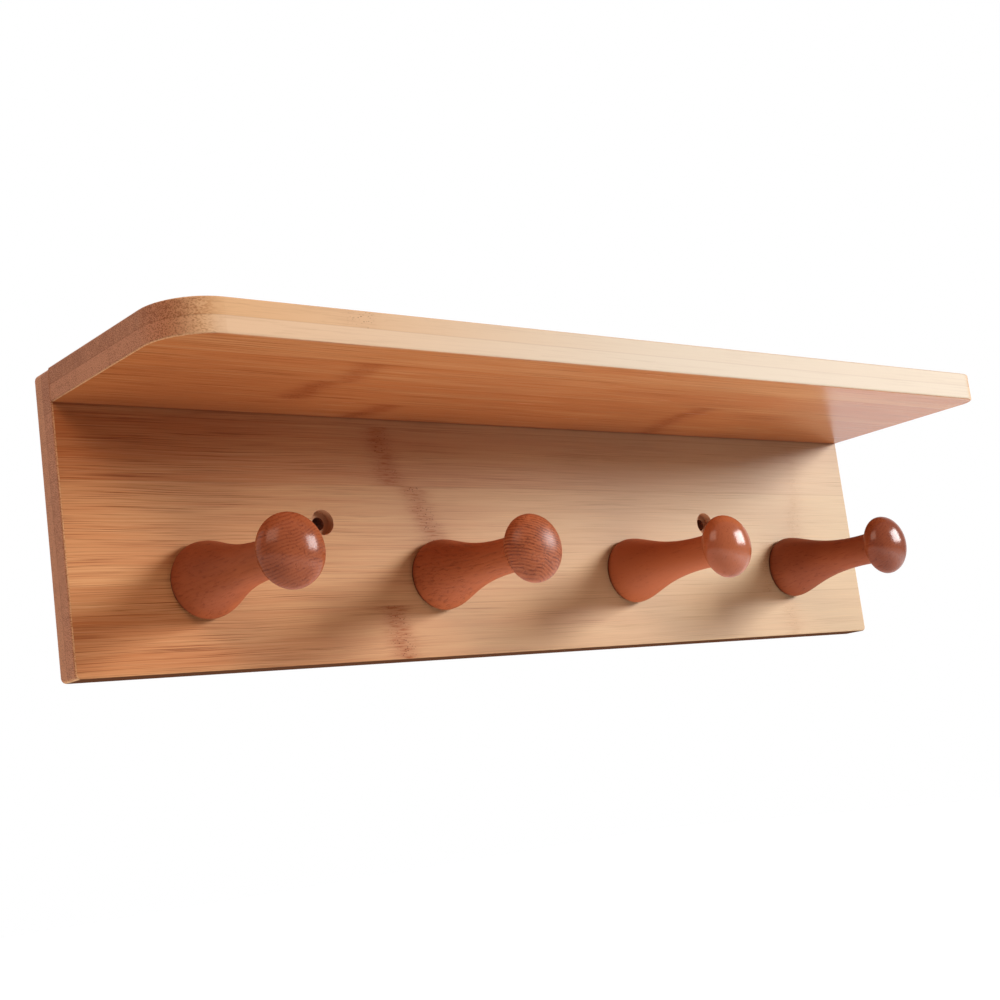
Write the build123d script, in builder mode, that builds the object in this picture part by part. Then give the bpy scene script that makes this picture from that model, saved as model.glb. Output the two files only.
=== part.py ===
from build123d import *
import math
import os

# Peg rail with shelf: a laminated bamboo back board and shelf, four turned pegs and their screws.
# Millimetres. X runs along the rail, +Y goes into the wall and +Z is up. The origin is the centre
# of the two wall-screw holes, on the face that lies against the wall.

# Boards: each one is two bamboo plies, glued face to face
rail_length = 430.0
board_height = 110.0
board_ply = 6.25
board_corner_radius = 2.0
shelf_projection = 87.5
shelf_ply = 6.25
shelf_left_radius = 20.0
shelf_right_radius = 9.0
arris_radius = 0.8
rear_arris_radius = 1.5

# Stepped holes for the wall screws
wall_hole_spacing = 215.0
wall_hole_diameter = 5.2
wall_counterbore_diameter = 10.0
wall_counterbore_depth = 3.5

# Turned pegs; a "reach" is measured outwards from the seat on the board
peg_count = 4
peg_spacing = 108.0
peg_drop = 22.0
seat_diameter = 27.0
foot_diameter = 28.6
foot_reach = 2.5
foot_round = 20.0
waist_diameter = 14.0
waist_reach = 44.5
neck_diameter = 15.2
head_diameter = 26.6
head_reach = 58.8
head_back = 3.8
head_front = 7.6
neck_fillet = 2.2

# Countersunk wood screws, driven from the wall side
screw_diameter = 4.0
screw_core_diameter = 2.8
screw_head_diameter = 8.0
screw_inset = 0.2
screw_point = 4.0
peg_screw_length = 35.0
shelf_screw_length = 40.0
recess_width = 1.2
recess_span = 4.6
recess_depth = 1.8

# Clearances
shank_clearance = 0.25
pilot_clearance = 0.05
head_clearance = 0.05
pilot_spare = 2.5

# Planes and places that follow from the sizes
board_thickness = 2 * board_ply
shelf_thickness = 2 * shelf_ply
board_front_y = -board_thickness
shelf_top_z = board_height / 2
shelf_screw_z = shelf_top_z - shelf_ply
peg_z = -peg_drop
peg_places = [(i - (peg_count - 1) / 2) * peg_spacing for i in range(peg_count)]

wall_face = Plane(origin=(0, 0, 0), x_dir=(-1, 0, 0), z_dir=(0, 1, 0))
board_front = Plane(origin=(0, board_front_y, 0), x_dir=(1, 0, 0), z_dir=(0, -1, 0))
board_glue = Plane(origin=(0, -board_ply, 0), x_dir=(1, 0, 0), z_dir=(0, -1, 0))
shelf_top = Plane.XY.offset(shelf_top_z)
shelf_glue = Plane.XY.offset(shelf_screw_z)


def board_panel():
    """The glued and drilled back board, before it is parted into its plies."""
    with BuildPart() as panel:
        with BuildSketch(board_front):
            RectangleRounded(rail_length, board_height, board_corner_radius)
        extrude(amount=-board_thickness)
        fillet(panel.faces().sort_by(Axis.Y)[0].edges(), arris_radius)
        fillet(panel.faces().sort_by(Axis.Y)[-1].edges(), rear_arris_radius)
        with Locations(board_front):
            with GridLocations(wall_hole_spacing, 1, 2, 1):
                CounterBoreHole(
                    radius=wall_hole_diameter / 2,
                    counter_bore_radius=wall_counterbore_diameter / 2,
                    counter_bore_depth=wall_counterbore_depth,
                )
        with Locations(wall_face):
            with Locations(*[(x, z) for x in peg_places for z in (peg_z, shelf_screw_z)]):
                CounterSinkHole(
                    radius=screw_diameter / 2 + shank_clearance,
                    counter_sink_radius=screw_head_diameter / 2 + screw_inset + head_clearance,
                    counter_sink_angle=90,
                )
    return panel.part


def shelf_panel():
    """The glued shelf with its round front corners and the pilot bores in its rear edge."""
    with BuildPart() as panel:
        with BuildSketch(shelf_top) as outline:
            with Locations((0, board_front_y)):
                Rectangle(rail_length, shelf_projection, align=(Align.CENTER, Align.MAX))
            for end, radius in ((0, shelf_left_radius), (-1, shelf_right_radius)):
                front = outline.vertices().group_by(Axis.Y)[0].sort_by(Axis.X)
                fillet(front[end], radius)
        extrude(amount=-shelf_thickness)
        for face in (panel.faces().sort_by(Axis.Z)[0], panel.faces().sort_by(Axis.Z)[-1]):
            fillet(face.edges().sort_by(Axis.Y)[:-1], arris_radius)
        with Locations(Plane(board_front.origin, x_dir=(-1, 0, 0), z_dir=(0, 1, 0))):
            with Locations(*[(x, shelf_screw_z) for x in peg_places]):
                Hole(
                    radius=screw_core_diameter / 2 + pilot_clearance,
                    depth=shelf_screw_length + screw_inset - board_thickness + pilot_spare,
                )
    return panel.part


def ply(panel, glue_line, side, name):
    """One ply of a panel: what lies on one side of the glue line."""
    with BuildPart() as sheet:
        add(panel)
        split(bisect_by=glue_line, keep=side)
    sheet.part.label = name
    return sheet.part


def quarter_ellipse(start, end, centre):
    """A smooth quarter turn between two points that lie straight out from its centre."""
    start, end, centre = Vector(start), Vector(end), Vector(centre)
    handle = 4 / 3 * (math.sqrt(2) - 1)
    return Bezier(start, start + handle * (end - centre), end + handle * (start - centre), end)


def peg_profile():
    """Half of the peg's turned outline: X is the radius and Y the reach from the seat."""
    foot = Vector(foot_diameter / 2, foot_reach)
    waist = Vector(waist_diameter / 2, waist_reach)
    neck = Vector(neck_diameter / 2, head_reach - head_back)
    rim = Vector(head_diameter / 2, head_reach)
    tip = Vector(0, head_reach + head_front)
    # A convex arc at the foot runs into a hollow arc that ends upright at the waist.
    narrowing = foot - waist
    radii = narrowing.length**2 / (2 * narrowing.X)
    swing = math.degrees(math.asin(-narrowing.Y / radii))
    hollow = radii - foot_round
    with BuildLine() as outline:
        Polyline(tip, (0, 0), (seat_diameter / 2, 0))
        TangentArc(foot, (seat_diameter / 2, 0), tangent=(0, -1))
        CenterArc(foot - Vector(foot_round, 0), foot_round, 0, swing)
        CenterArc(waist + Vector(hollow, 0), hollow, 180, swing)
        TangentArc(waist, neck, tangent=(0, 1))
        quarter_ellipse(neck, rim, (neck.X, rim.Y))
        quarter_ellipse(rim, tip, (0, rim.Y))
    return outline.line


def make_peg(x, name):
    """A turned peg: round foot, long hollow taper, waist and ball head; pilot-bored from behind."""
    seat = Plane(origin=(x, board_front_y, peg_z), x_dir=(1, 0, 0), z_dir=(0, 0, -1))
    with BuildPart() as peg:
        with BuildSketch(seat):
            with BuildLine():
                add(peg_profile())
            make_face()
        revolve(axis=Axis(seat.origin, (0, -1, 0)))
        rings = peg.edges().filter_by(GeomType.CIRCLE)
        fillet(min(rings, key=lambda ring: abs(ring.radius - neck_diameter / 2)), neck_fillet)
        with Locations(Plane(seat.origin, x_dir=(-1, 0, 0), z_dir=(0, 1, 0))):
            Hole(
                radius=screw_core_diameter / 2 + pilot_clearance,
                depth=peg_screw_length + screw_inset - board_thickness + pilot_spare,
            )
    peg.part.label = name
    return peg.part


def make_screw(x, z, length, name):
    """A countersunk wood screw with a cross recess, its head just under the wall face."""
    axis_plane = Plane(origin=(x, -screw_inset, z), x_dir=(1, 0, 0), z_dir=(0, 0, -1))
    head_radius = screw_head_diameter / 2
    shank_radius = screw_diameter / 2
    core_radius = screw_core_diameter / 2
    shank_end = board_thickness - screw_inset
    with BuildPart() as screw:
        with BuildSketch(axis_plane):
            with BuildLine():
                Polyline(
                    (0, 0),
                    (head_radius, 0),
                    (shank_radius, head_radius - shank_radius),
                    (shank_radius, shank_end),
                    (core_radius, shank_end),
                    (core_radius, length - screw_point),
                    (0, length),
                    close=True,
                )
            make_face()
        revolve(axis=Axis(axis_plane.origin, (0, -1, 0)))
        with BuildSketch(Plane(axis_plane.origin, x_dir=(-1, 0, 0), z_dir=(0, 1, 0))):
            Rectangle(recess_span, recess_width)
            Rectangle(recess_width, recess_span)
        extrude(amount=-recess_depth, taper=15, mode=Mode.SUBTRACT)
    screw.part.label = name
    return screw.part


def write(piece):
    """Write one finished piece to its own file."""
    export_step(piece, f"parts/{piece.label}.step")


os.makedirs("parts", exist_ok=True)

board = board_panel()
write(ply(board, board_glue, Keep.TOP, "board_front_ply"))
write(ply(board, board_glue, Keep.BOTTOM, "board_rear_ply"))

shelf = shelf_panel()
write(ply(shelf, shelf_glue, Keep.TOP, "shelf_top_ply"))
write(ply(shelf, shelf_glue, Keep.BOTTOM, "shelf_bottom_ply"))

for number, place in enumerate(peg_places, start=1):
    write(make_peg(place, f"peg_{number}"))
    write(make_screw(place, peg_z, peg_screw_length, f"peg_screw_{number}"))
    write(make_screw(place, shelf_screw_z, shelf_screw_length, f"shelf_screw_{number}"))
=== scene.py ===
# %% [markdown]
# # A peg rail with a shelf, dressed in its woods
#
# The rail is two boards of pressed bamboo, four turned pegs and the screws that hold them.
# Every size comes from the packed model, so this lesson is about finish: how a bamboo panel gets
# its strips, fibres and node scars, how a stained peg gets its grain and gloss, and how plain
# lamps show them. All lengths in the code are metres unless a name ends in `_mm`.

# %% Load the frame
import bpy
import math
from mathutils import Matrix, Vector


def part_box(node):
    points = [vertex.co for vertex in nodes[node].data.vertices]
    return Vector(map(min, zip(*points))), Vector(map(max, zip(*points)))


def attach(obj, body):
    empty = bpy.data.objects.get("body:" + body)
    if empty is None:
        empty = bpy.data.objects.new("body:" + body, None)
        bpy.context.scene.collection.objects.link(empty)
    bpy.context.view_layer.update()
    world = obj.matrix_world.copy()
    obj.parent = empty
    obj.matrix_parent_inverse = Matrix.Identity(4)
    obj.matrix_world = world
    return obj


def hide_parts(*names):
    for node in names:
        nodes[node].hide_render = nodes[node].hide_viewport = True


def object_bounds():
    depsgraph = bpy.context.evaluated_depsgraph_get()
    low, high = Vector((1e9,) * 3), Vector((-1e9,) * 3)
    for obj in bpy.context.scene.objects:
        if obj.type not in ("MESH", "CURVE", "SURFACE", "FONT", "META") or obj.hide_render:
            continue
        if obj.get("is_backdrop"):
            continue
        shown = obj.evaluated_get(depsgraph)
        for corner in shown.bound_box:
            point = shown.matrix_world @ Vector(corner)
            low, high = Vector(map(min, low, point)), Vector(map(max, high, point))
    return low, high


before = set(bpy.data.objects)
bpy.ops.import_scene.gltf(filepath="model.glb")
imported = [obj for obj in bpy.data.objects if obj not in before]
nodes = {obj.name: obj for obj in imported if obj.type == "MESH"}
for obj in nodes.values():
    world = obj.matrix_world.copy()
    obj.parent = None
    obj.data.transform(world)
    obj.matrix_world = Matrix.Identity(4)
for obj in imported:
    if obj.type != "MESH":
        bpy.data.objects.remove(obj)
cad_low, cad_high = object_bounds()
MM = 0.001
print("rail, in metres:", [round(side, 4) for side in cad_high - cad_low])

# %% [markdown]
# ## The camera
#
# It stands low and to the left of the rail and looks up a little, so that the shelf's underside,
# its rounded end and the pegs' profiles all show. A long lens keeps the pegs alike. A camera that
# is aimed by a point and a roll is easier to adjust than one set by three angles.

# %% Camera
camera_place = Vector((-0.4620, -0.5310, -0.1085))
camera_aim = Vector((-0.0186, -0.0125, -0.0030))
camera_roll = math.radians(-7.44)
camera = bpy.data.objects.new("camera", bpy.data.cameras.new("camera"))
bpy.context.collection.objects.link(camera)
level = (camera_aim - camera_place).to_track_quat("-Z", "Y").to_matrix().to_4x4()
camera.matrix_world = Matrix.Translation(camera_place) @ level @ Matrix.Rotation(camera_roll, 4, "Z")
camera.data.lens = 59.05
camera.data.shift_y = 0.03
camera.data.clip_start = 0.01
bpy.context.scene.camera = camera
print("camera to rail:", round((camera_aim - camera_place).length, 3))

# %% [markdown]
# ## Writing node trees as sums
#
# A material is a small calculation. Wiring it node by node hides what it says, so this helper
# adds a node per call and hands back its output: `sums.math("ADD", a, b)` reads like a + b. The
# same helper writes the geometry trees further down.


# %% A helper for node trees
class Sums:
    """Adds nodes to a tree. A call returns the new output, but node and coated return the node."""

    def __init__(self, tree):
        self.tree = tree

    def feed(self, socket, value):
        if isinstance(value, bpy.types.NodeSocket):
            self.tree.links.new(value, socket)
        else:
            socket.default_value = value

    def node(self, kind, inputs=(), **settings):
        node = self.tree.nodes.new(kind)
        for name, value in settings.items():
            setattr(node, name, value)
        for key, value in dict(inputs).items():
            self.feed(node.inputs[key], value)
        return node

    def math(self, operation, *values):
        inputs = dict(enumerate(values))
        return self.node("ShaderNodeMath", inputs, operation=operation).outputs[0]

    def add(self, a, b):
        return self.math("ADD", a, b)

    def sub(self, a, b):
        return self.math("SUBTRACT", a, b)

    def times(self, a, b):
        return self.math("MULTIPLY", a, b)

    def step(self, value, low, high):
        """0 below low, 1 above high and a smooth rise between; low may be the larger."""
        inputs = {"Value": value, "From Min": low, "From Max": high}
        return self.node("ShaderNodeMapRange", inputs, interpolation_type="SMOOTHSTEP").outputs[0]

    def clip(self, value):
        return self.node("ShaderNodeClamp", {0: value}).outputs[0]

    def bell(self, value, width):
        """1 where value is 0, falling off over about width."""
        ratio = self.math("DIVIDE", value, width)
        return self.math("EXPONENT", self.times(self.times(ratio, ratio), -1.0))

    def vector(self, x, y, z):
        return self.node("ShaderNodeCombineXYZ", {0: x, 1: y, 2: z}).outputs[0]

    def parts(self, vector):
        return self.node("ShaderNodeSeparateXYZ", {0: vector}).outputs

    def noise(self, vector, detail=2.0, roughness=0.5):
        inputs = {"Vector": vector, "Scale": 1.0, "Detail": detail, "Roughness": roughness}
        return self.node("ShaderNodeTexNoise", inputs).outputs[0]

    def stretched(self, *pairs, detail=2.0, roughness=0.5):
        """Noise that changes at another rate along each direction; pairs give (place, rate)."""
        place = self.vector(*(self.times(value, rate) for value, rate in pairs))
        return self.noise(place, detail, roughness)

    def random(self, value):
        return self.node("ShaderNodeTexWhiteNoise", {"W": value}, noise_dimensions="1D").outputs[0]

    def mix(self, factor, a, b, blend="MIX"):
        inputs = {0: factor, 6: a, 7: b}
        node = self.node("ShaderNodeMix", data_type="RGBA", blend_type=blend)
        for key, value in inputs.items():
            self.feed(node.inputs[key], value)
        return node.outputs[2]

    def in_millimetres(self, vector):
        inputs = {0: vector, 1: (1000.0,) * 3}
        return self.node("ShaderNodeVectorMath", inputs, operation="MULTIPLY").outputs[0]

    def coated(self, colour, roughness, relief, gloss, polish):
        """A matt surface under a clear coat."""
        return self.node(
            "ShaderNodeBsdfPrincipled",
            {"Base Color": colour, "Roughness": roughness, "Normal": relief.outputs[0], "Coat Weight": gloss,
             "Coat Roughness": polish, "Coat IOR": 1.5, "Specular IOR Level": 0.0},
        )


def new_material(name):
    """An empty material and the Sums that write it."""
    material = bpy.data.materials.new(name)
    material.use_nodes = True
    material.node_tree.nodes.clear()
    return material, Sums(material.node_tree)


def finish_material(sums, shader):
    output = sums.node("ShaderNodeOutputMaterial")
    sums.tree.links.new(shader.outputs[0], output.inputs["Surface"])


print("the helper adds:", ", ".join(name for name in vars(Sums) if not name.startswith("_")))

# %% [markdown]
# ## Floor, backdrop and lamps
#
# The rail hangs over a plain white floor, with a bright white backdrop behind it and a dim room in
# front. The backdrop lights the sawn ends; the room gives the gloss something duller to mirror. The
# key lamp is a small soft box at the right, low enough to reach under the shelf and small enough
# to leave a clear shadow there; a wider and dimmer one beside it is only seen in reflections, so
# shadow and shine are set apart. A broad weak lamp stands at the left, and a small sheet of light
# below stands for what a table throws back up. The key is a little cool and these two are warm:
# between them they leave lit wood its own colour and make the shadows warmer. The floor is topped
# up to white further away, so that a shadow close to the rail still shows.

# %% White surroundings
white = (1.0, 1.0, 1.0, 1.0)
backdrop_level = 1.0
backdrop_edge = (-0.05, 0.15)
mirrored_level = 0.40
ambient_level = 0.05


def seen_directly(sums):
    """1 for rays from the camera and for reflected or refracted ones, 0 for diffuse light."""
    rays = sums.node("ShaderNodeLightPath").outputs
    seen = sums.math("MAXIMUM", rays["Is Camera Ray"], rays["Is Glossy Ray"])
    return sums.math("MAXIMUM", seen, rays["Is Transmission Ray"])


world = bpy.data.worlds.new("white surroundings")
bpy.context.scene.world = world
world.use_nodes = True
world.cycles.sampling_method = "NONE"
world.node_tree.nodes.clear()
sums = Sums(world.node_tree)
direction = sums.parts(sums.node("ShaderNodeTexCoord").outputs["Generated"])
behind = sums.times(sums.step(direction[1], *backdrop_edge), backdrop_level)
rays = sums.node("ShaderNodeLightPath").outputs
mirrored = sums.times(rays["Is Glossy Ray"], mirrored_level)
room = sums.math("MAXIMUM", mirrored, ambient_level)
strength = sums.math("MAXIMUM", rays["Is Camera Ray"], sums.math("MAXIMUM", behind, room))
background = sums.node("ShaderNodeBackground", {"Color": white, "Strength": strength})
world_output = sums.node("ShaderNodeOutputWorld")
sums.tree.links.new(background.outputs[0], world_output.inputs["Surface"])
print("backdrop", backdrop_level, "room in reflections", mirrored_level, "room", ambient_level)

# %% Floor
floor_drop = 0.40
floor_size = 12.0
floor_paint = (0.80, 0.80, 0.80, 1.0)
floor_dull = (0.15, 0.15, 0.15, 1.0)
near_glow = 0.35
far_glow = 0.65
glow_rise = (0.6, 2.2)

floor_material, sums = new_material("floor_white")
seen = sums.node("ShaderNodeBsdfDiffuse", {"Color": floor_paint})
floor_place = sums.node("ShaderNodeTexCoord").outputs["Object"]
away = sums.node("ShaderNodeVectorMath", {0: floor_place}, operation="LENGTH").outputs["Value"]
top_up = sums.add(near_glow, sums.times(sums.step(away, *glow_rise), far_glow))
bright = sums.node("ShaderNodeEmission", {"Color": white, "Strength": top_up})
table = sums.node("ShaderNodeAddShader", {0: seen.outputs[0], 1: bright.outputs[0]})
dull = sums.node("ShaderNodeBsdfDiffuse", {"Color": floor_dull})
shaders = {0: seen_directly(sums), 1: dull.outputs[0], 2: table.outputs[0]}
finish_material(sums, sums.node("ShaderNodeMixShader", shaders))

half = floor_size / 2
corners = [(-half, -half), (half, -half), (half, half), (-half, half)]
floor_mesh = bpy.data.meshes.new("floor")
floor_z = cad_low.z - floor_drop
floor_mesh.from_pydata([(x, y, floor_z) for x, y in corners], [], [(0, 1, 2, 3)])
floor_mesh.materials.append(floor_material)
floor = bpy.data.objects.new("floor", floor_mesh)
bpy.context.collection.objects.link(floor)
floor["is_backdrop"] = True
print("floor at", round(floor_z, 3))


# %% Lamps
def soft_box(name, azimuth, elevation, distance, width, height, radiance, tint=(1.0, 1.0, 1.0)):
    """A rectangular lamp that faces the rail; azimuth is in degrees to the right of its front."""
    turn, rise = math.radians(azimuth), math.radians(elevation)
    towards = Vector((math.sin(turn) * math.cos(rise), -math.cos(turn) * math.cos(rise), math.sin(rise)))
    data = bpy.data.lights.new(name, "AREA")
    data.shape = "RECTANGLE"
    data.size = width
    data.size_y = height
    data.energy = radiance * math.pi * width * height
    data.color = tint
    lamp = bpy.data.objects.new(name, data)
    lamp.location = towards * distance
    lamp.rotation_euler = towards.to_track_quat("Z", "Y").to_euler()
    lamp.visible_camera = False
    bpy.context.collection.objects.link(lamp)
    print(name, "at", [round(v, 2) for v in lamp.location])
    return lamp


cool_white = (0.94, 0.965, 1.0)
warm_wall = (1.0, 0.68, 0.52)
warm_table = (1.0, 0.86, 0.76)
key_lamp = soft_box("key_lamp", 48, 14.5, 2.4, 1.13, 0.60, 29.5, cool_white)
key_lamp.visible_glossy = False
shine_lamp = soft_box("shine_lamp", 55, 14.5, 2.4, 1.0, 0.72, 20.0)
shine_lamp.visible_diffuse = False
soft_box("fill_lamp", -42, 36, 1.6, 1.0, 0.8, 4.3, warm_wall)
table_lamp = soft_box("table_lamp", 0, -90, 0.42, 0.9, 0.6, 1.9, warm_table)
table_lamp.visible_glossy = False

# %% [markdown]
# ## Bamboo
#
# A pressed panel is made of flat strips, each about 24 mm wide and one ply thick, glued edge to
# edge. Every strip was cut from another cane, so it has its own tone. Dark bundles of fibre run
# along it: they show as fine streaks on the faces and as dots on the sawn ends, and where the
# cane had a joint there is a scar across the strip. One pattern in space gives both: bundles
# that are long in X and thin in the other two directions, read wherever the surface cuts them.
# An image would have to be unwrapped, and its grain would not carry on round an edge.

# %% Bamboo sizes
strip_width_mm = 24.2
glue_line_mm = 0.30
far_left_mm = cad_low.x / MM
soaked_length_mm = 150.0
# Spans in mm over which a painted sheen pales the face and the shelf's front edge towards the right, standing
# in for the key lamp's reflection in the lacquer
face_sheen_span_mm = (-230.0, 150.0)
edge_sheen_span_mm = (-240.0, 20.0)
shelf_under_mm = 42.5
board_face_mm = -12.5
wall_hole_x_mm = 107.5
counterbore_radius_mm = 5.15
bore_radius_mm = 2.70
print("strips on the board:", math.ceil((cad_high.z - cad_low.z) / MM / strip_width_mm))

# %% Bamboo colours
honey = (0.66, 0.355, 0.158, 1.0)
amber = (0.52, 0.186, 0.063, 1.0)
pale_straw = (0.78, 0.50, 0.25, 1.0)
# Painted sheen: the face pales towards this colour at the right end, standing in for the lamp's reflection
painted_sheen_pale = (0.69, 0.61, 0.42, 1.0)
fibre_brown = (0.21, 0.056, 0.020, 1.0)
speck_brown = (0.130, 0.034, 0.014, 1.0)
fibre_tint = (0.42, 0.26, 0.20, 1.0)
scar_tint = (0.58, 0.32, 0.22, 1.0)
edge_honey = (0.80, 0.55, 0.34, 1.0)
edge_amber = (0.76, 0.46, 0.23, 1.0)
# Painted sheen: the shelf's front edge pales towards this colour at the right
painted_sheen_edge = (0.72, 0.63, 0.49, 1.0)
# Painted shade: a dark brown for the board's bottom face, standing in for the shade under it
painted_bottom_shade = (0.10, 0.045, 0.025, 1.0)
sawn_end = (0.64, 0.285, 0.150, 1.0)
sawn_dark = (0.32, 0.116, 0.058, 1.0)
# Round the shelf's corner the end is paler: partly the slanting cut, partly painted light
corner_pale_and_lit = (0.90, 0.60, 0.33, 1.0)
corner_dark = (0.60, 0.29, 0.130, 1.0)
hole_brown = (0.58, 0.31, 0.18, 1.0)
# Painted shade deep in the bore, past the counterbore's step
hole_painted_shade = (0.22, 0.090, 0.055, 1.0)


# %% Strips
def strip_place(sums, across, joint_mm, seed):
    """The strip's number, the way from its middle and its own random number."""
    from_joint = sums.sub(across, joint_mm)
    strip = sums.math("FLOOR", sums.math("DIVIDE", from_joint, strip_width_mm))
    middle = sums.times(sums.add(strip, 0.5), strip_width_mm)
    chance = sums.random(sums.add(strip, seed * 17.3))
    return strip, sums.sub(from_joint, middle), chance


def is_strip(sums, strip, number):
    return sums.math("COMPARE", strip, float(number), 0.1)


# %% Node scars
def scar_marks(sums, x, lane, depth, off_middle, strip, scars, seed):
    """Where a cane had a joint: its smudge, its dots, where it is near, and the shift in tone past it.

    scars lists (strip, x_mm, lean, weight, shift).
    """
    ragged = sums.stretched((x, 0.05), (lane, 0.30), (seed, 1.0))
    dashes = sums.stretched((x, 0.17), (lane, 1.6), (seed + 3.0, 1.0), roughness=0.6)
    dashes = sums.step(dashes, 0.46, 0.66)
    cell = sums.vector(sums.times(x, 0.75), sums.times(lane, 1.25), sums.add(sums.times(depth, 1.25), seed))
    dots = sums.node("ShaderNodeTexVoronoi", {"Vector": cell, "Scale": 1.0}).outputs["Distance"]
    dots = sums.times(sums.step(dots, 0.32, 0.14), sums.step(ragged, 0.42, 0.58))
    smudge, specks, near, shift = 0.0, 0.0, 0.0, 0.0
    for number, place, lean, weight, change in scars:
        here = sums.times(is_strip(sums, strip, number), weight)
        away = sums.sub(sums.sub(x, place), sums.times(off_middle, lean))
        torn = sums.add(away, sums.times(sums.sub(ragged, 0.5), 9.0))
        streaks = sums.times(dashes, sums.bell(torn, 6.0))
        around = sums.add(sums.times(streaks, 0.50), sums.times(sums.bell(torn, 6.5), 0.48))
        smudge = sums.add(smudge, sums.times(here, around))
        specks = sums.add(specks, sums.times(here, sums.times(dots, sums.bell(away, 4.5))))
        near = sums.add(near, sums.times(here, sums.bell(away, 14.0)))
        past = sums.times(sums.step(torn, -3.0, 3.0), change)
        shift = sums.add(shift, sums.times(is_strip(sums, strip, number), past))
    return smudge, specks, near, shift


# %% Fibres
def fibre_pattern(sums, run, lane, depth, soaked, seed):
    """Fine hairs gathered in groups, the noise behind them, broader bands and soft clouds."""
    hair = sums.stretched((run, 0.022), (lane, 2.5), (depth, 1.6), detail=3.0, roughness=0.65)
    band = sums.stretched((run, 0.016), (lane, 0.70), (depth, 1.6))
    cloud = sums.stretched((run, 0.007), (lane, 0.13), (seed * 3.1, 1.0))
    group = sums.stretched((run, 0.013), (lane, 0.22), (seed * 5.7, 1.0))
    gathered = sums.add(sums.times(sums.step(group, 0.35, 0.68), 0.75), 0.25)
    hairs = sums.times(sums.step(hair, 0.46, 0.72), sums.add(gathered, sums.times(soaked, 0.5)))
    return hairs, hair, sums.sub(band, 0.5), sums.sub(cloud, 0.5)


# %% Colour of a strip's face
def strip_tone(sums, strip, chance, shift, tones):
    """How dark a strip is: tones gives (strip, darkness)."""
    tone = sums.add(sums.times(sums.sub(chance, 0.5), 0.12), shift)
    for number, darkness in tones:
        tone = sums.add(tone, sums.times(is_strip(sums, strip, number), darkness))
    return tone


def face_colour(sums, tone, x, face_sheen, hairs, hair):
    """The strip's own colour, paled towards the right by a painted sheen, with pale and dark fibres."""
    colour = sums.mix(sums.clip(tone), honey, amber)
    # Painted sheen: the face pales towards the right and its fibres fade there, standing in for the lamp's
    # reflection
    sheen_rise = sums.step(x, *face_sheen_span_mm)
    colour = sums.mix(sums.times(sheen_rise, face_sheen), colour, painted_sheen_pale)
    fibre = sums.clip(sums.times(hairs, sums.sub(0.80, sums.times(sheen_rise, face_sheen * 0.85))))
    pale = sums.step(hair, 0.44, 0.26)
    colour = sums.mix(sums.times(pale, 0.45), colour, pale_straw)
    return sums.mix(fibre, colour, fibre_tint, "MULTIPLY"), fibre


# %% Colours of the edges and the sawn ends
def edge_colour(sums, facing_across, edges, x, edge_sheen, fibre):
    """The faces along the strips: edges colours the lower or front one and the other one."""
    colour = sums.mix(sums.step(facing_across, 0.0, -0.2), edges[1], edges[0])
    # Painted sheen: the edges pale towards the right, standing in for the lamp's reflection
    colour = sums.mix(sums.times(sums.step(x, *edge_sheen_span_mm), edge_sheen), colour, painted_sheen_edge)
    return sums.mix(sums.times(fibre, 0.18), colour, fibre_brown)


def end_colour(sums, place, sideways, chance, joint, end_tone):
    """A sawn end: bundles show as dark dots; round the shelf's corner it is paler than on a straight cut,
    partly because the cut slants across the fibres and partly as painted light.
    """
    x, across, depth = place
    grit = sums.stretched((x, 0.4), (across, 2.2), (depth, 2.2), roughness=0.6)
    lumps = sums.stretched((x, 0.1), (across, 0.4), (depth, 0.4), detail=1.0)
    grain = sums.add(sums.step(grit, 0.43, 0.64), sums.times(sums.sub(lumps, 0.5), 0.8))
    grain = sums.add(grain, sums.add(sums.times(sums.sub(chance, 0.5), 0.3), sums.times(joint, 0.25)))
    straight_cut = sums.step(sideways, 0.30, 0.95)
    light = sums.mix(straight_cut, corner_pale_and_lit, sawn_end)
    dark = sums.mix(straight_cut, corner_dark, sawn_dark)
    return sums.mix(sums.clip(sums.add(grain, end_tone)), light, dark)


# %% Wall holes and the corner, with painted shade in both
def drilled(sums, colour, x, z, on_board):
    """The wall holes are raw inside, and past the step the bore is darkened as painted shade; also says where
    they are.
    """
    aside = sums.sub(sums.math("ABSOLUTE", x), wall_hole_x_mm)
    radius = sums.math("SQRT", sums.add(sums.times(aside, aside), sums.times(z, z)))
    bored = sums.step(radius, counterbore_radius_mm + 0.1, counterbore_radius_mm - 0.1)
    bored = sums.times(bored, float(on_board))
    colour = sums.mix(bored, colour, hole_brown)
    painted_bore_shade = sums.times(bored, sums.step(radius, bore_radius_mm + 0.05, bore_radius_mm - 0.05))
    return sums.mix(painted_bore_shade, colour, hole_painted_shade), bored


def corner_painted_shade(sums, colour, to_corner, facing_out):
    """Painted shade where shelf and board meet: a fine dark line and a soft band, on the inner faces only."""
    line, band = sums.times(sums.bell(to_corner, 0.6), 0.45), sums.times(sums.bell(to_corner, 13.0), 0.24)
    inner_face = sums.step(facing_out, -0.3, -0.7)
    return sums.mix(sums.times(sums.add(line, band), inner_face), colour, fibre_brown)


# %% Lacquer
def lacquer(sums, colour, height, along, sawn, bored, band, satin, glosses):
    """A clear coat over matt wood; the fibres are sunk a little."""
    face_gloss, edge_gloss, end_gloss = glosses
    gloss = sums.add(face_gloss, sums.times(along, edge_gloss - face_gloss))
    gloss = sums.add(gloss, sums.times(sawn, sums.sub(end_gloss, gloss)))
    gloss = sums.times(gloss, sums.sub(1.0, sums.times(bored, 0.9)))
    satin = sums.add(sums.add(satin, sums.times(along, 0.12)), sums.times(band, 0.10))
    relief = sums.node("ShaderNodeBump", {"Strength": 0.20, "Distance": 0.0002, "Height": height})
    return sums.coated(colour, 0.5, relief, gloss, satin)


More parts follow.
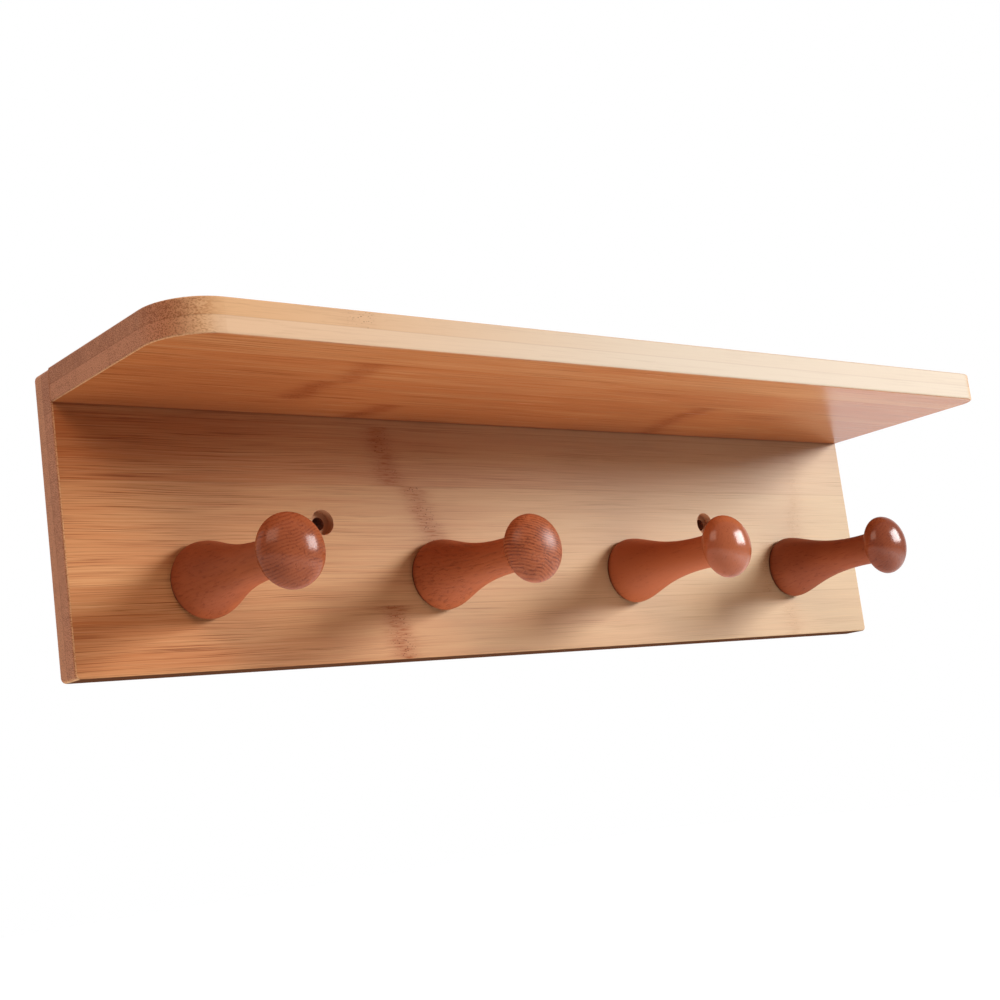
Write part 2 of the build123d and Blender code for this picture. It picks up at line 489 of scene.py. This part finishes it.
# %% Bamboo material
def bamboo(name, across_axis, joint_mm, seam_mm, seed, tones, scars, edges, end_tone, painted_sheens, satin, glosses):
    """One ply's bamboo: strips lie side by side along across_axis, with a joint at joint_mm.

    seam_mm is where the ply meets the other one, tones gives a strip's darkness by its number,
    edges colour the two faces along the strips, end_tone darkens the sawn ends, painted_sheens say how
    much a painted sheen pales the right-hand end on the face and along the strips, satin is the lacquer's
    roughness, and glosses are its weights on the face, along the strips and on the sawn ends.
    """
    material, sums = new_material(name)
    coordinates = sums.node("ShaderNodeTexCoord").outputs
    x, y, z = sums.parts(sums.in_millimetres(coordinates["Object"]))
    facing = dict(zip("XYZ", sums.parts(coordinates["Normal"])))
    on_board = across_axis == "Z"
    across, depth, depth_axis = (z, y, "Y") if on_board else (y, z, "Z")

    # Lanes: fibres wander a little, and more beside a scar
    strip, off_middle, chance = strip_place(sums, across, joint_mm, seed)
    run = sums.add(x, sums.times(chance, 900.0))
    wander = sums.stretched((run, 0.012), (across, 0.05), (seed, 1.0))
    lane = sums.add(across, sums.times(sums.sub(wander, 0.5), 3.0))
    smudge, specks, near, shift = scar_marks(sums, x, lane, depth, off_middle, strip, scars, seed)
    swerve = sums.stretched((run, 0.10), (across, 0.25), (seed + 5.0, 1.0), detail=1.0)
    lane = sums.add(lane, sums.times(sums.sub(swerve, 0.5), sums.times(near, 1.4)))

    # The face
    soaked = sums.step(sums.sub(x, far_left_mm), soaked_length_mm, 0.0)
    hairs, hair, band, cloud = fibre_pattern(sums, run, lane, depth, soaked, seed)
    tone = strip_tone(sums, strip, chance, shift, tones)
    tone = sums.add(sums.add(tone, sums.add(sums.times(cloud, 1.1), band)), sums.times(soaked, 0.15))
    colour, fibre = face_colour(sums, tone, x, painted_sheens[0], hairs, hair)
    half_width = strip_width_mm / 2
    joint = sums.step(sums.math("ABSOLUTE", off_middle), half_width - glue_line_mm, half_width - 0.05)
    colour = sums.mix(sums.times(joint, 0.18), colour, fibre_brown)

    # The faces along the strips, the sawn ends and the seam between the plies
    along = sums.step(sums.math("ABSOLUTE", facing[across_axis]), 0.55, 0.90)
    colour = sums.mix(along, colour, edge_colour(sums, facing[across_axis], edges, x, painted_sheens[1], fibre))
    sideways = sums.math("ABSOLUTE", facing["X"])
    sawn = sums.step(sideways, 0.02, 0.50)
    ends = end_colour(sums, (x, across, depth), sideways, chance, joint, end_tone)
    colour = sums.mix(sums.times(sawn, 0.9), colour, ends)
    seam = sums.step(sums.math("ABSOLUTE", sums.sub(depth, seam_mm)), 0.35, 0.05)
    seam = sums.times(seam, sums.add(0.12, sums.times(sawn, 0.16)))
    colour = sums.mix(seam, colour, fibre_brown)

    # Scars, holes with painted shade in the bore, and painted shade in the corner under the shelf
    smudge = sums.clip(sums.times(smudge, sums.sub(1.0, sums.times(along, 0.7))))
    colour = sums.mix(smudge, colour, scar_tint, "MULTIPLY")
    colour = sums.mix(sums.clip(sums.times(specks, 1.15)), colour, speck_brown)
    colour, bored = drilled(sums, colour, x, z, on_board)
    from_corner = sums.sub(z, shelf_under_mm) if on_board else sums.sub(y, board_face_mm)
    colour = corner_painted_shade(sums, colour, sums.math("ABSOLUTE", from_corner), facing[depth_axis])

    height = sums.sub(1.0, sums.add(fibre, sums.times(joint, 0.4)))
    finish_material(sums, lacquer(sums, colour, height, along, sawn, bored, band, satin, glosses))
    return material


# %% Bamboo plies
board_scars = [
    (0, -75.0, -0.20, 0.8, 0.0),
    (-1, -58.0, -0.40, 0.8, 0.0),
    (-3, -76.5, -0.20, 1.0, 0.0),
    # Toward the right end these scars are partly painted light: the paler tone past the scars at 173 and 178
    # mm is partly a painted sheen, and the smudge at 148 mm is partly painted shade reddening the peg's
    # shadow
    (-1, 173.0, 0.15, 0.25, -0.3),
    (-2, 148.0, 0.15, 0.35, -0.15),
    (0, 178.0, 0.1, 0.15, -0.3),
    (-3, 160.0, 0.0, 0.25, 0.0),
]
shelf_scars = [
    (0, -124.0, 0.1, 0.7, 0.0),
    (1, -130.0, 0.0, 0.9, 0.0),
    (1, 70.0, -0.1, 0.8, 0.0),
    (2, 74.0, 0.3, 0.7, 0.0),
    (2, -87.0, -0.3, 0.9, 0.0),
]
# On the board the lower face along the strips, its bottom, gets painted shade
board_ply = dict(
    across_axis="Z", seam_mm=-6.25, edges=(painted_bottom_shade, edge_amber), satin=0.42, glosses=(0.35, 0.0, 0.3)
)
shelf_ply = dict(across_axis="Y", seam_mm=48.75, painted_sheens=(0.0, 0.9), satin=0.25)
plies = {
    "board_front_ply": bamboo(
        "bamboo_board_front", joint_mm=15.0, seed=1, scars=board_scars, end_tone=0.15, painted_sheens=(0.56, 0.0),
        # Strip 0, under the shelf, is darkest: partly its own tone, partly painted shade deepening the
        # shelf's shadow
        tones=[(1, 0.6), (0, 0.75), (-1, 0.35), (-2, 0.40), (-3, 0.55), (-4, 0.5)], **board_ply,
    ),
    "board_rear_ply": bamboo(
        "bamboo_board_rear", joint_mm=-47.2, seed=2, scars=[], end_tone=-0.15, painted_sheens=(0.0, 0.0),
        tones=[], **board_ply,
    ),
    "shelf_bottom_ply": bamboo(
        "bamboo_shelf_bottom", joint_mm=-82.0, seed=3, scars=shelf_scars, end_tone=-0.2,
        # The strips nearer the board are darker: partly their own tone, partly painted shade towards the
        # corner under the shelf
        glosses=(0.65, 0.2, 0.2), tones=[(-1, 0.6), (0, 0.9), (1, 1.0), (2, 1.05), (3, 1.05)],
        edges=(edge_honey, edge_honey), **shelf_ply,
    ),
    "shelf_top_ply": bamboo(
        "bamboo_shelf_top", joint_mm=-86.0, seed=4, scars=[(-1, -142.0, 0.0, 0.5, 0.0)], end_tone=0.2,
        glosses=(0.05, 0.2, 0.2), tones=[(-1, 0.30), (0, 0.10), (1, 0.40), (2, 0.15), (3, 0.35)],
        edges=(edge_amber, edge_amber), **shelf_ply,
    ),
}
for node_name, material in plies.items():
    nodes[node_name].data.materials[0] = material
print("bamboo on:", sorted(plies))

# %% [markdown]
# ## Stained pegs
#
# The pegs are turned from a plain hardwood and dipped in a red-brown stain, which sinks deeper into
# the open pores. The pores run along the peg, so they are flecks on its side; on the domed head the
# growth rings come to the surface as fine broken lines. Both are read from the same block of wood
# in space, which is turned about the peg's axle by another angle for each one. The heads are
# polished by hands and coats more than the shafts, so their clear coat is stronger and smoother.

# %% Peg material
stain = (0.41, 0.112, 0.043, 1.0)
stain_dark = (0.17, 0.034, 0.013, 1.0)
# Painted shade where the peg meets the board
seat_painted_shade = (0.030, 0.008, 0.004, 1.0)
# Pale lines on the heads: partly stain rubbed thin, partly a painted highlight
stain_rubbed_and_highlight = (0.62, 0.27, 0.125, 1.0)
ring_spacing_mm = 1.15
head_starts_mm = (-50.0, -60.0)
seat_shade_mm = 1.6
shaft_gloss = 0.45
shaft_roughness = 0.50
print("ring spacing, mm:", ring_spacing_mm)


def stained_wood(name, centre, turn, depth, contrast, relief_strength, head_roughness, head_gloss):
    """Turned hardwood under a red-brown stain: pores run along the peg, rings cross its head.

    turn is the angle of the growth rings in degrees, depth the stain's darkness, and contrast how
    dark the rings are.
    """
    material, sums = new_material(name)
    coordinates = sums.node("ShaderNodeTexCoord").outputs
    to_axle = {"Vector": coordinates["Object"], "Location": tuple(-v for v in centre)}
    moved = sums.node("ShaderNodeMapping", to_axle)
    turned = sums.node(
        "ShaderNodeMapping",
        {"Vector": moved.outputs[0], "Rotation": (0.0, math.radians(turn), 0.0), "Scale": (1000.0,) * 3},
    )
    x, y, z = sums.parts(turned.outputs[0])

    # Pores run along the peg; rings are layers of the block, a little wavy and broken
    pores = sums.stretched((x, 1.3), (y, 0.16), (z, 1.3), detail=3.0, roughness=0.6)
    waves = sums.stretched((x, 0.10), (y, 0.05), (z, 0.10), detail=1.0)
    layer = sums.add(z, sums.times(waves, 3.0))
    ripple = sums.math("SINE", sums.times(layer, 2.0 * math.pi / ring_spacing_mm))
    broken = sums.stretched((x, 0.30), (y, 0.10), (layer, 1.0), roughness=0.6)
    rings = sums.times(sums.step(ripple, -0.1, 0.9), sums.step(broken, 0.38, 0.56))
    clouds = sums.stretched((x, 0.09), (y, 0.06), (z, 0.09))
    flecks = sums.step(pores, 0.52, 0.74)
    head = sums.step(y, *head_starts_mm)

    # Stain sinks into pores and rings and rubs thin between them; a near-black band at the seat is painted
    # shade
    lines = sums.times(rings, sums.times(contrast, sums.add(0.3, sums.times(head, 0.7))))
    dark = sums.add(sums.times(flecks, 0.35), lines)
    dark = sums.add(sums.add(dark, depth), sums.times(sums.sub(clouds, 0.5), 0.7))
    colour = sums.mix(sums.clip(dark), stain, stain_dark)
    # Pale lines between the rings on the head: partly stain rubbed thin, partly a painted highlight, the
    # broken shine of a scratched head
    rubbed_and_highlight = sums.times(sums.step(ripple, -0.2, -0.9), sums.step(broken, 0.62, 0.44))
    colour = sums.mix(sums.times(rubbed_and_highlight, sums.times(head, 0.7 * contrast**2)), colour, stain_rubbed_and_highlight)
    # Painted shade: a near-black band at the seat, where the peg meets the board
    colour = sums.mix(sums.times(sums.bell(y, seat_shade_mm), 0.8), colour, seat_painted_shade)

    height = sums.sub(1.0, sums.add(sums.times(flecks, 0.7), lines))
    relief = sums.node("ShaderNodeBump", {"Strength": relief_strength, "Distance": 0.0004, "Height": height})
    gloss = sums.add(shaft_gloss, sums.times(head, head_gloss - shaft_gloss))
    polish = sums.sub(shaft_roughness, sums.times(head, shaft_roughness - head_roughness))
    finish_material(sums, sums.coated(colour, 0.6, relief, gloss, polish))
    return material


# %% One block of wood for each peg
peg_looks = {
    "peg_1": (20, 0.26, 0.25, 0.6, 0.19, 0.42),
    "peg_2": (-17, 0.0, 0.50, 1.0, 0.36, 0.55),
    "peg_3": (70, -0.05, 0.10, 0.15, 0.17, 0.65),
    "peg_4": (40, 0.60, 0.10, 0.15, 0.17, 0.60),
}
peg_woods = {}
for node_name, looks in peg_looks.items():
    low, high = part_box(node_name)
    centre = ((low.x + high.x) / 2, high.y, (low.z + high.z) / 2)
    peg_woods[node_name] = stained_wood(f"stained_{node_name}", centre, *looks)
print("peg finishes:", sorted(peg_woods))

# %% [markdown]
# ## A lathe in geometry nodes
#
# A lathe sweeps an outline round an axle. Curve to Mesh does the same: its path is a tiny circle,
# the axle, and its profile is the half outline. The outline's radius is counted from the axle's
# skin, so a point at radius 0 lands on the axis, and Merge by Distance closes the poles. The trees
# work in millimetres and scale once at the end, and every size is a named input, so one tree
# turns a whole family of pegs.

# %% Trees with named sizes
axle_mm = 1.0
weld_mm = 0.005
corner_angle = math.radians(35)


def new_tree(name, sizes):
    """A geometry tree with an input for every size, its Sums and its inputs."""
    tree = bpy.data.node_groups.new(name, "GeometryNodeTree")
    tree.interface.new_socket("Mesh", in_out="OUTPUT", socket_type="NodeSocketGeometry")
    for label, size in sizes.items():
        socket = tree.interface.new_socket(label, in_out="INPUT", socket_type="NodeSocketFloat")
        socket.default_value = size
    tree.interface.new_socket("Material", in_out="INPUT", socket_type="NodeSocketMaterial")
    return tree, Sums(tree), tree.nodes.new("NodeGroupInput").outputs


def join(sums, pieces):
    joined = sums.node("GeometryNodeJoinGeometry")
    for piece in pieces:
        sums.tree.links.new(piece, joined.inputs[0])
    return joined.outputs[0]


def outline_point(sums, point):
    radius, reach = point
    return sums.vector(sums.sub(radius, axle_mm), reach, 0.0)


def bend(sums, steps, *points):
    """A Bezier piece of the outline, from four (radius, reach) points: ends first and last."""
    names = ("Start", "Start Handle", "End Handle", "End")
    inputs = {name: outline_point(sums, point) for name, point in zip(names, points)}
    return sums.node("GeometryNodeCurvePrimitiveBezierSegment", {"Resolution": steps, **inputs}).outputs[0]


def straight(sums, start, end):
    inputs = {"Start": outline_point(sums, start), "End": outline_point(sums, end)}
    return sums.node("GeometryNodeCurvePrimitiveLine", inputs).outputs[0]


def lathe(sums, outline, sides):
    """The outline swept round the axle, its reach along -Z, smooth but for its corners."""
    axle = sums.node("GeometryNodeCurvePrimitiveCircle", {"Resolution": sides, "Radius": axle_mm})
    sweep = {"Curve": axle.outputs[0], "Profile Curve": join(sums, outline)}
    swept = sums.node("GeometryNodeCurveToMesh", sweep)
    weld = {"Geometry": swept.outputs[0], "Distance": weld_mm}
    closed = sums.node("GeometryNodeMergeByDistance", weld)
    angle = sums.node("GeometryNodeInputMeshEdgeAngle").outputs["Unsigned Angle"]
    corner = sums.math("GREATER_THAN", angle, corner_angle)
    creased = {"Geometry": closed.outputs[0], "Selection": corner, "Shade Smooth": False}
    return sums.node("GeometryNodeSetShadeSmooth", creased, domain="EDGE").outputs[0]


def hand_over(sums, inputs, mesh, depth):
    """Turns the axle to -Y, puts the piece in its place, and ends the tree."""
    turned = sums.node("GeometryNodeTransform", {"Geometry": mesh, "Rotation": (-math.pi / 2, 0.0, 0.0)})
    place = sums.vector(inputs["Place"], sums.times(depth, -1.0), inputs["Height"])
    moved = sums.node("GeometryNodeTransform", {"Geometry": turned.outputs[0], "Translation": place})
    scaled = sums.node("GeometryNodeTransform", {"Geometry": moved.outputs[0], "Scale": (MM,) * 3})
    whole = sums.node("GeometryNodeRealizeInstances", {"Geometry": scaled.outputs[0]})
    paint = {"Geometry": whole.outputs[0], "Material": inputs["Material"]}
    painted = sums.node("GeometryNodeSetMaterial", paint)
    output = sums.node("NodeGroupOutput")
    sums.tree.links.new(painted.outputs[0], output.inputs[0])


def grow(tree, name, sizes, material):
    """Runs a tree once with these sizes and keeps what it makes as a plain mesh at the origin."""
    thing = bpy.data.objects.new(name, bpy.data.meshes.new(name))
    bpy.context.collection.objects.link(thing)
    modifier = thing.modifiers.new("growth", "NODES")
    modifier.node_group = tree
    wanted = {**sizes, "Material": material}
    for socket in tree.interface.items_tree:
        if socket.in_out == "INPUT" and socket.name in wanted:
            modifier[socket.identifier] = wanted[socket.name]
    result = thing.evaluated_get(bpy.context.evaluated_depsgraph_get())
    grown = bpy.data.meshes.new_from_object(result)
    thing.modifiers.clear()
    thing.data = grown
    grown.name = name
    return thing


print("a tree's axle:", axle_mm, "mm, welded within", weld_mm, "mm")

# %% [markdown]
# ## The turned peg
#
# Bulb, neck and foot flow into one another: the foot rolls over into a long hollow taper, the
# waist swells a little into the neck, and the head is two quarter ellipses. Each is one Bezier
# piece whose handles point along its neighbour's, so the joins don't show.

# %% The peg's tree
peg_sizes = {
    "Place": 0.0, "Height": -22.0, "Seat depth": 12.5, "Seat radius": 13.5, "Foot radius": 14.3,
    "Foot reach": 2.5, "Waist radius": 7.0, "Waist reach": 44.5, "Neck radius": 7.6,
    "Head radius": 13.3, "Head reach": 58.8, "Head back": 3.8, "Head front": 7.6, "Neck fillet": 2.2,
}
peg_sides = 96
foot_pull_mm = 8.0
waist_pull_mm = 24.5
swell_pull_mm = 2.8
quarter_pull = 0.5523
back_point = (0.39, 0.921)
back_pull = (0.37, 0.157)
rim_pull = 0.402


def peg_tree():
    tree, sums, size = new_tree("turned peg", peg_sizes)
    add, sub, times = sums.add, sums.sub, sums.times
    seat, foot_y, foot_r = size["Seat radius"], size["Foot reach"], size["Foot radius"]
    waist_r, waist_y, neck_r = size["Waist radius"], size["Waist reach"], size["Neck radius"]
    rim_r, rim_y, back, front = size["Head radius"], size["Head reach"], size["Head back"], size["Head front"]
    foot, waist, rim = (foot_r, foot_y), (waist_r, waist_y), (rim_r, rim_y)

    # Where the fillet leaves the neck, and where it meets the back of the head
    neck_y = sub(sub(rim_y, back), size["Neck fillet"])
    neck = (sub(neck_r, times(size["Neck fillet"], 0.1)), neck_y)
    width = sub(rim_r, neck_r)
    back_r, back_y = add(neck_r, times(width, back_point[0])), sub(rim_y, times(back, back_point[1]))
    behind_head = (back_r, back_y)
    leaving = (add(back_r, times(width, back_pull[0])), add(back_y, times(back, back_pull[1])))
    arriving = (rim_r, sub(rim_y, times(back, rim_pull)))
    tip_y = add(rim_y, front)

    outline = [
        straight(sums, (0.0, 0.0), (seat, 0.0)),
        bend(sums, 4, (seat, 0.0), (add(seat, 0.25), 0.75), (foot_r, sub(foot_y, 0.85)), foot),
        bend(sums, 20, foot, (foot_r, add(foot_y, foot_pull_mm)),
             (waist_r, sub(waist_y, waist_pull_mm)), waist),
        bend(sums, 6, waist, (waist_r, add(waist_y, swell_pull_mm)),
             (sub(neck[0], 0.25), sub(neck_y, swell_pull_mm)), neck),
        bend(sums, 7, neck, (add(neck[0], 0.12), add(neck_y, 1.3)),
             (sub(back_r, 1.3), sub(back_y, 0.37)), behind_head),
        bend(sums, 10, behind_head, leaving, arriving, rim),
        bend(sums, 14, rim, (rim_r, add(rim_y, times(front, quarter_pull))),
             (times(rim_r, quarter_pull), tip_y), (0.0, tip_y)),
    ]
    hand_over(sums, size, lathe(sums, outline, peg_sides), size["Seat depth"])
    return tree


def axle_place(low, high):
    """Where a turned piece's axle stands on the rail, in millimetres."""
    return {"Place": (low.x + high.x) / 2 / MM, "Height": (low.z + high.z) / 2 / MM}


# %% Turn four pegs
turned_peg = peg_tree()
for node_name, wood in peg_woods.items():
    low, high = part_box(node_name)
    sizes = {**axle_place(low, high), "Seat depth": -high.y / MM}
    peg = grow(turned_peg, f"turned_{node_name}", sizes, wood)
    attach(peg, "root")
    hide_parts(node_name)
    ends = [round(max(v.co[i] for v in peg.data.vertices) - high[i], 5) for i in range(3)]
    print(peg.name, "faces", len(peg.data.polygons), "off the model by", ends)

# %% [markdown]
# ## Wood screws
#
# A screw is a turned blank with a thread wound round it. The thread is a triangle swept along a
# Spiral curve; its Scale fades to nothing at both ends, as a rolled thread does. The cross recess
# is cut with two tapered blocks. Only the heads show, on the wall side, but a screw that is whole
# can be taken out and used again.

# %% The screw's tree
screw_sizes = {
    "Place": 0.0, "Height": 0.0, "Inset": 0.2, "Length": 35.0, "Diameter": 4.0, "Core": 2.8,
    "Head diameter": 8.0, "Point": 4.0, "Plain shank": 12.0, "Pitch": 2.0,
    "Recess span": 4.6, "Recess width": 1.2, "Recess depth": 1.8,
}
screw_sides = 40
turn_steps = 24
shoulder_mm = 0.3


def thread(sums, start_radius, end_radius, length, pitch, crest, start_z, fade):
    """A ridge wound from start_z upwards; fade gives its size by how far along it is."""
    turns = sums.math("DIVIDE", length, pitch)
    path = sums.node(
        "GeometryNodeCurveSpiral",
        {"Resolution": turn_steps, "Rotations": turns, "Start Radius": start_radius,
         "End Radius": end_radius, "Height": length},
    )
    ridge = sums.node("GeometryNodeCurvePrimitiveCircle", {"Resolution": 3, "Radius": crest})
    swept = sums.node(
        "GeometryNodeCurveToMesh",
        {"Curve": path.outputs[0], "Profile Curve": ridge.outputs[0], "Scale": fade, "Fill Caps": True},
    )
    moved = {"Geometry": swept.outputs[0], "Translation": sums.vector(0.0, 0.0, start_z)}
    return sums.node("GeometryNodeTransform", moved).outputs[0]


def recess_wing(sums, size, turn):
    """A tapered block across the head, for one stroke of the cross."""
    block = sums.node(
        "GeometryNodeMeshCone",
        {"Vertices": 4, "Radius Top": 0.40, "Radius Bottom": math.sqrt(0.5), "Depth": size["Recess depth"]},
    )
    square = {"Geometry": block.outputs[0], "Rotation": (math.pi, 0.0, math.pi / 4)}
    squared = sums.node("GeometryNodeTransform", square)
    scale = sums.vector(size["Recess span"], size["Recess width"], 1.0)
    stretched = sums.node("GeometryNodeTransform", {"Geometry": squared.outputs[0], "Scale": scale})
    set_in = {"Translation": (0.0, 0.0, 0.02), "Rotation": (0.0, 0.0, turn)}
    return sums.node("GeometryNodeTransform", {"Geometry": stretched.outputs[0], **set_in}).outputs[0]


def screw_tree():
    tree, sums, size = new_tree("wood screw", screw_sizes)
    half = {name: sums.times(size[name], 0.5) for name in ("Diameter", "Core", "Head diameter")}
    shank, core, head = half["Diameter"], half["Core"], half["Head diameter"]
    cone_end, shank_end = sums.sub(head, shank), size["Plain shank"]
    thread_end = sums.add(shank_end, shoulder_mm)
    point_start = sums.sub(size["Length"], size["Point"])
    outline = [
        straight(sums, (0.0, 0.0), (head, 0.0)),
        straight(sums, (head, 0.0), (shank, cone_end)),
        straight(sums, (shank, cone_end), (shank, shank_end)),
        straight(sums, (shank, shank_end), (core, thread_end)),
        straight(sums, (core, thread_end), (core, point_start)),
        straight(sums, (core, point_start), (0.0, size["Length"])),
    ]
    blank = lathe(sums, outline, screw_sides)
    for turn in (0.0, math.pi / 2):
        cut = sums.node("GeometryNodeMeshBoolean", {"Mesh 1": blank}, operation="DIFFERENCE")
        sums.tree.links.new(recess_wing(sums, size, turn), cut.inputs["Mesh 2"])
        blank = cut.outputs[0]

    along = sums.node("GeometryNodeSplineParameter").outputs["Factor"]
    crest = sums.sub(shank, core)
    wound = sums.sub(point_start, thread_end)
    whole_turns = sums.math("FLOOR", sums.math("DIVIDE", wound, size["Pitch"]))
    wound = sums.times(whole_turns, size["Pitch"])
    start_z = sums.times(point_start, -1.0)
    body = thread(sums, core, core, wound, size["Pitch"], crest, start_z, sums.step(along, 1.0, 0.94))
    tip_z = sums.times(size["Length"], -1.0)
    fade_in = sums.step(along, 0.0, 1.0)
    nose = thread(sums, 0.1, core, size["Point"], size["Pitch"], crest, tip_z, fade_in)
    hand_over(sums, size, join(sums, [blank, body, nose]), size["Inset"])
    return tree


# %% Zinc plate
zinc_bright = (0.60, 0.60, 0.58, 1.0)
zinc_dull = (0.42, 0.42, 0.43, 1.0)


def zinc_plate():
    """Bright zinc on steel, a little clouded."""
    material, sums = new_material("zinc_plate")
    coordinates = sums.node("ShaderNodeTexCoord").outputs["Object"]
    scaled = sums.node("ShaderNodeVectorMath", {0: coordinates, 1: (700.0,) * 3}, operation="MULTIPLY")
    clouds = sums.noise(scaled.outputs[0], 3.0)
    colour = sums.mix(sums.step(clouds, 0.35, 0.70), zinc_bright, zinc_dull)
    polish = sums.add(0.24, sums.times(clouds, 0.20))
    metal = {"Base Color": colour, "Metallic": 1.0, "Roughness": polish}
    finish_material(sums, sums.node("ShaderNodeBsdfPrincipled", metal))
    return material


# %% Drive eight screws
wood_screw = screw_tree()
zinc = zinc_plate()
for node_name in sorted(nodes):
    if "screw" not in node_name:
        continue
    low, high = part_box(node_name)
    sizes = {**axle_place(low, high), "Inset": -high.y / MM, "Length": (high.y - low.y) / MM}
    screw = grow(wood_screw, f"threaded_{node_name}", sizes, zinc)
    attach(screw, "root")
    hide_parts(node_name)
    print(screw.name, "length", round(sizes["Length"], 1), "faces", len(screw.data.polygons))

bpy.context.scene.view_settings.view_transform = "Standard"
seen_low, seen_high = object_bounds()
sizes = {"cad": [list(cad_low), list(cad_high)], "visual": [list(seen_low), list(seen_high)]}
